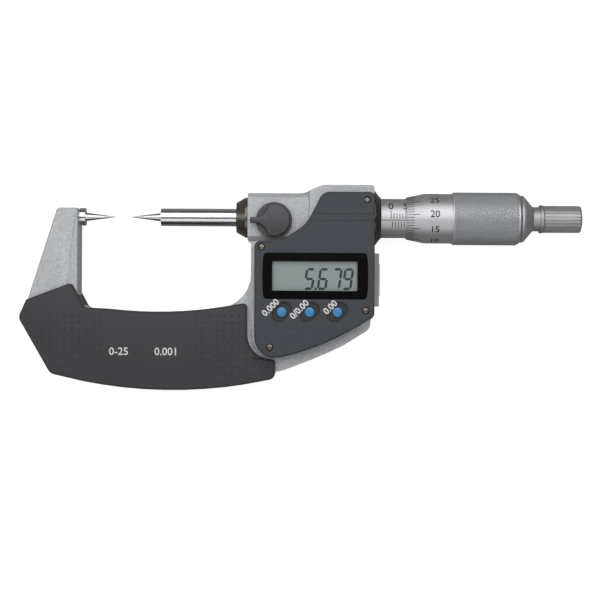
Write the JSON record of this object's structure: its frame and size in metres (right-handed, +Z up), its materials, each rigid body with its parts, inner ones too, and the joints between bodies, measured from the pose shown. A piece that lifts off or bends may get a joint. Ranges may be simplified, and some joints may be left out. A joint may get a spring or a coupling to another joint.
{
  "type": "outside micrometer",
  "caption": "Digital outside micrometer, 0 to 25 mm, with needle-pointed anvil and spindle, display, clamp lever and ratchet thimble.",
  "frame": {"origin": "middle of the footprint of the whole tool, on the surface it lies on, display side up", "axes": "+X along the measuring axis from the anvil to the ratchet knob, +Y across the display towards the top edge, +Z up, out of the display"},
  "size_m": [0.1904, 0.0694, 0.0231],
  "materials": {
    "frame_enamel": "satin",
    "shield_plastic": "matte",
    "ground_steel": "polished",
    "carbide": "satin",
    "satin_chrome": "satin",
    "knob_steel": "satin",
    "plain_steel": "satin",
    "black_anodised": "satin",
    "bronze": "satin",
    "black_rubber": "matte",
    "cover_plastic": "satin",
    "black_plastic": "matte",
    "window_plastic": "gloss",
    "lcd_glass": "satin",
    "white_plastic": "matte",
    "circuit_board": "satin",
    "blue_plastic": "satin",
    "grey_plastic": "satin",
    "cell_steel": "polished"
  },
  "bodies": {
    "frame": {"frame": "frame_enamel", "anvil": "ground_steel", "anvil_tip": "carbide", "front_heat_shield": "shield_plastic", "back_heat_shield": "shield_plastic", "seal_nut": "black_anodised", "spindle_wiper": "black_rubber", "guide_bush": "bronze", "clamp_shoe": "bronze", "encoder_stator": "circuit_board", "inner_sleeve": "plain_steel", "taper_nut": "plain_steel", "sleeve": "satin_chrome", "sleeve_collar": "black_anodised", "front_cover": "cover_plastic", "cover_gasket": "black_rubber", "cover_screws": "plain_steel", "display_window": "window_plastic", "lcd_panel": "lcd_glass", "lcd_holder": "white_plastic", "contact_strips": "black_rubber", "main_board": "circuit_board", "switch_domes": "plain_steel", "battery": "cell_steel", "battery_spring": "bronze", "data_socket": "black_plastic", "data_socket_cover": "grey_plastic", "data_cover_screws": "plain_steel"},
    "encoder_rotor": {"rotor_spring": "plain_steel", "rotor_bush": "bronze", "encoder_rotor": "circuit_board"},
    "spindle": {"spindle": "ground_steel", "spindle_tip": "carbide", "thimble": "satin_chrome", "thimble_seal": "black_rubber", "thimble_cap": "satin_chrome", "ratchet_screw": "plain_steel", "ratchet_wheel": "plain_steel"},
    "ratchet": {"ratchet_pawl": "plain_steel", "ratchet_neck": "satin_chrome", "ratchet_spring": "plain_steel", "ratchet_knob": "knob_steel"},
    "clamp": {"clamp_screw": "plain_steel", "clamp_lever": "black_anodised"},
    "left_button": {"button_left": "blue_plastic"},
    "middle_button": {"button_middle": "blue_plastic"},
    "right_button": {"button_right": "blue_plastic"},
    "battery_cap": {"battery_cap": "black_plastic", "battery_cap_seal": "black_rubber"}
  },
  "joints": [
    {"name": "thimble_turn", "type": "hinge", "parent": "frame", "child": "encoder_rotor", "pos_m": [0.01633, 0.0239, 0.01], "axis": [1, 0, 0], "range_deg": [-4089, 13912]},
    {"name": "spindle_travel", "type": "slide", "parent": "encoder_rotor", "child": "spindle", "axis": [1, 0, 0], "range_m": [-0.00568, 0.01932]},
    {"name": "ratchet_turn", "type": "hinge", "parent": "spindle", "child": "ratchet", "pos_m": [0.081, 0.0239, 0.01], "axis": [1, 0, 0], "continuous": true},
    {"name": "clamp_turn", "type": "hinge", "parent": "frame", "child": "clamp", "pos_m": [-0.00937, 0.0226, 0.0176], "axis": [0, 0, 1], "range_deg": [-40, 0]},
    {"name": "left_button_press", "type": "slide", "parent": "frame", "child": "left_button", "axis": [0, 0, -1], "range_m": [0, 0.0005], "stiffness_N_per_m": 800},
    {"name": "middle_button_press", "type": "slide", "parent": "frame", "child": "middle_button", "axis": [0, 0, -1], "range_m": [0, 0.0005], "stiffness_N_per_m": 800},
    {"name": "right_button_press", "type": "slide", "parent": "frame", "child": "right_button", "axis": [0, 0, -1], "range_m": [0, 0.0005], "stiffness_N_per_m": 800},
    {"name": "battery_cap_turn", "type": "hinge", "parent": "frame", "child": "battery_cap", "pos_m": [0.00233, -0.0006, 0], "axis": [0, 0, 1], "range_deg": [-60, 0]}
  ],
  "couplings": [
    {"joint": "thimble_turn", "follows": "spindle_travel", "rad_per_m": 12566}
  ]
}
